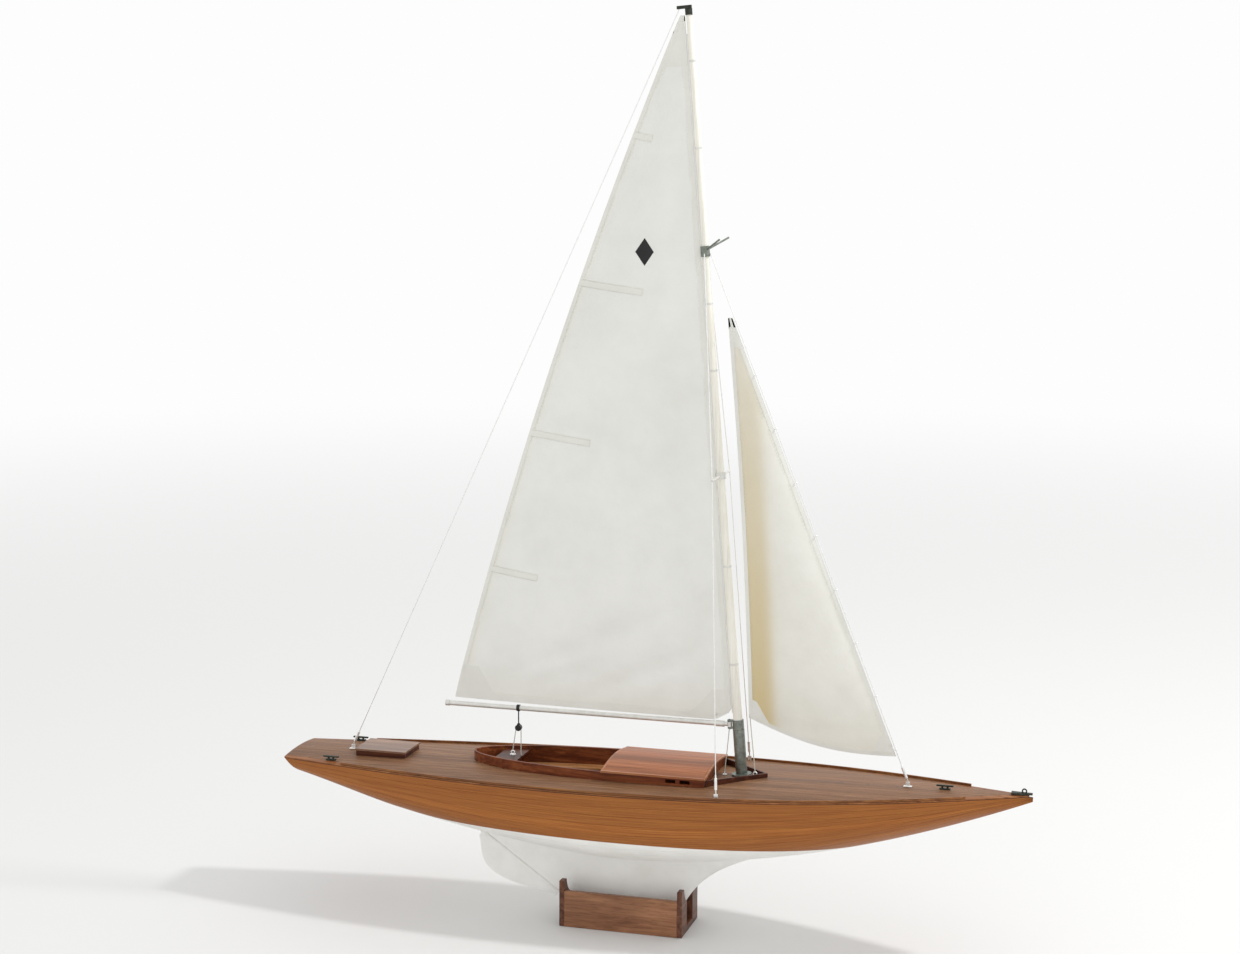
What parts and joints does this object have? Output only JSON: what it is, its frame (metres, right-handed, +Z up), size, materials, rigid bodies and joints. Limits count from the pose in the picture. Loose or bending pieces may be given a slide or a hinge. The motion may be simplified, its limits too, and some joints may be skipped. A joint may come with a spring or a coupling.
{
  "type": "rc boat",
  "caption": "Radio-controlled long-keel sailing yacht with hinged boom, swinging jib, coupled rudder gear, sail winch, lift-off cuddy roof and hatch, resting on a wooden display stand.",
  "frame": {"origin": "on the table, under the middle of the hull's length on its centreline", "axes": "+X to the bow, +Y to port, +Z up"},
  "size_m": [0.74, 0.158, 0.8869],
  "materials": {
    "mahogany_planking": "oiled mahogany planks above a white painted bottom",
    "dark_mahogany": "dark varnished mahogany",
    "white_bottom_paint": "satin white paint",
    "plywood": "bare plywood",
    "deck_planks": "narrow dark caulked deck planks",
    "coaming_wood": "varnished red mahogany",
    "cuddy_wood": "varnished light terracotta wood",
    "hatch_wood": "varnished board with a dull sheen",
    "spruce": "varnished pale spruce",
    "stand_wood": "dark stained board",
    "dark_metal": "dull dark green-grey metal",
    "alloy": "dull light alloy",
    "wire": "thin bright wire",
    "brass_tube": "bare brass",
    "sailcloth": "thin off-white sailcloth",
    "sheet_cord": "thin pale cord",
    "black_plastic": "black moulded plastic",
    "white_plastic": "white moulded nylon",
    "battery_wrap": "green shrink wrap",
    "red_plastic": "red switch knob"
  },
  "bodies": {
    "stand": {"stand_floor": "stand_wood", "stand_sides": "stand_wood", "stand_end_fore": "stand_wood", "stand_end_aft": "stand_wood"},
    "hull": {"hull_shell": "mahogany_planking", "transom": "dark_mahogany", "keel_fin": "white_bottom_paint", "keel_ballast": "white_bottom_paint", "bulkhead_fore": "plywood", "bulkhead_mast": "plywood", "bulkhead_mid": "plywood", "bulkhead_aft": "plywood", "deck": "deck_planks", "toe_rails": "dark_mahogany", "coaming": "coaming_wood", "breakwater": "dark_mahogany", "cockpit_sole": "plywood", "cockpit_benches": "coaming_wood", "sheet_bridge": "dark_mahogany", "aft_hatch_frame": "dark_mahogany", "mast_step": "coaming_wood", "mast_sleeve": "dark_metal", "mast": "spruce", "gooseneck_bracket": "dark_metal", "masthead_crane": "dark_metal", "jumper_struts": "dark_metal", "spreaders": "alloy", "shrouds": "wire", "forestay": "wire", "backstay": "wire", "chainplates": "wire", "turnbuckles": "wire", "stem_fitting": "dark_metal", "deck_cleats": "dark_metal", "deck_eyes": "wire", "rudder_tube": "brass_tube", "servo_tray": "plywood", "steering_servo": "black_plastic", "winch_servo": "black_plastic", "receiver": "black_plastic", "battery_pack": "battery_wrap", "switch_body": "black_plastic"},
    "boom": {"boom": "alloy", "boom_fitting": "alloy", "mainsail": "sailcloth", "battens": "spruce", "sheet_block": "black_plastic", "mainsheet": "sheet_cord"},
    "jib": {"jib": "sailcloth", "jib_hanks": "wire", "jib_sheet": "sheet_cord"},
    "rudder": {"rudder_blade": "white_bottom_paint", "rudder_stock": "wire", "rudder_horn": "white_plastic"},
    "steering_arm": {"steering_horn": "white_plastic"},
    "pushrod": {"pushrod": "wire"},
    "winch": {"winch_drum": "white_plastic"},
    "switch": {"switch_knob": "red_plastic"},
    "cuddy_roof": {"cuddy_roof": "cuddy_wood"},
    "aft_hatch": {"aft_hatch_cover": "hatch_wood"}
  },
  "joints": [
    {"name": "boat_lift", "type": "slide", "parent": "stand", "child": "hull", "axis": [0, 0, 1], "range_m": [0, 0.1]},
    {"name": "boom_swing", "type": "hinge", "parent": "hull", "child": "boom", "pos_m": [0.08393, 0, 0.15736], "axis": [-0.0792, 0, 0.9969], "range_deg": [-75, 75], "deforming": ["mainsheet"]},
    {"name": "jib_swing", "type": "hinge", "parent": "hull", "child": "jib", "pos_m": [0.253, 0, 0.16547], "axis": [-0.3708, 0, 0.9287], "range_deg": [-50, 50], "deforming": ["jib_sheet"]},
    {"name": "rudder_turn", "type": "hinge", "parent": "hull", "child": "rudder", "pos_m": [-0.091, 0, 0.0225], "axis": [-0.8191, 0, 0.5736], "range_deg": [-35, 35]},
    {"name": "steering_servo_turn", "type": "hinge", "parent": "hull", "child": "steering_arm", "pos_m": [-0.087, 0, 0.123], "axis": [0, 0, 1], "range_deg": [-35, 35]},
    {"name": "pushrod_pivot", "type": "hinge", "parent": "steering_arm", "child": "pushrod", "pos_m": [-0.087, 0.014, 0.123], "axis": [0, 0, 1], "range_deg": [-35, 35]},
    {"name": "winch_turn", "type": "hinge", "parent": "hull", "child": "winch", "pos_m": [-0.048, 0, 0.116], "axis": [0, 0, 1], "range_deg": [0, 1260]},
    {"name": "switch_slide", "type": "slide", "parent": "hull", "child": "switch", "axis": [1, 0, 0], "range_m": [0, 0.005]},
    {"name": "cuddy_roof_lift", "type": "slide", "parent": "hull", "child": "cuddy_roof", "axis": [0, 0, 1], "range_m": [0, 0.03]},
    {"name": "aft_hatch_lift", "type": "slide", "parent": "hull", "child": "aft_hatch", "axis": [0, 0, 1], "range_m": [0, 0.015]}
  ],
  "couplings": [
    {"joint": "steering_servo_turn", "follows": "rudder_turn", "ratio": 0.549},
    {"joint": "pushrod_pivot", "follows": "rudder_turn", "ratio": -0.549}
  ]
}
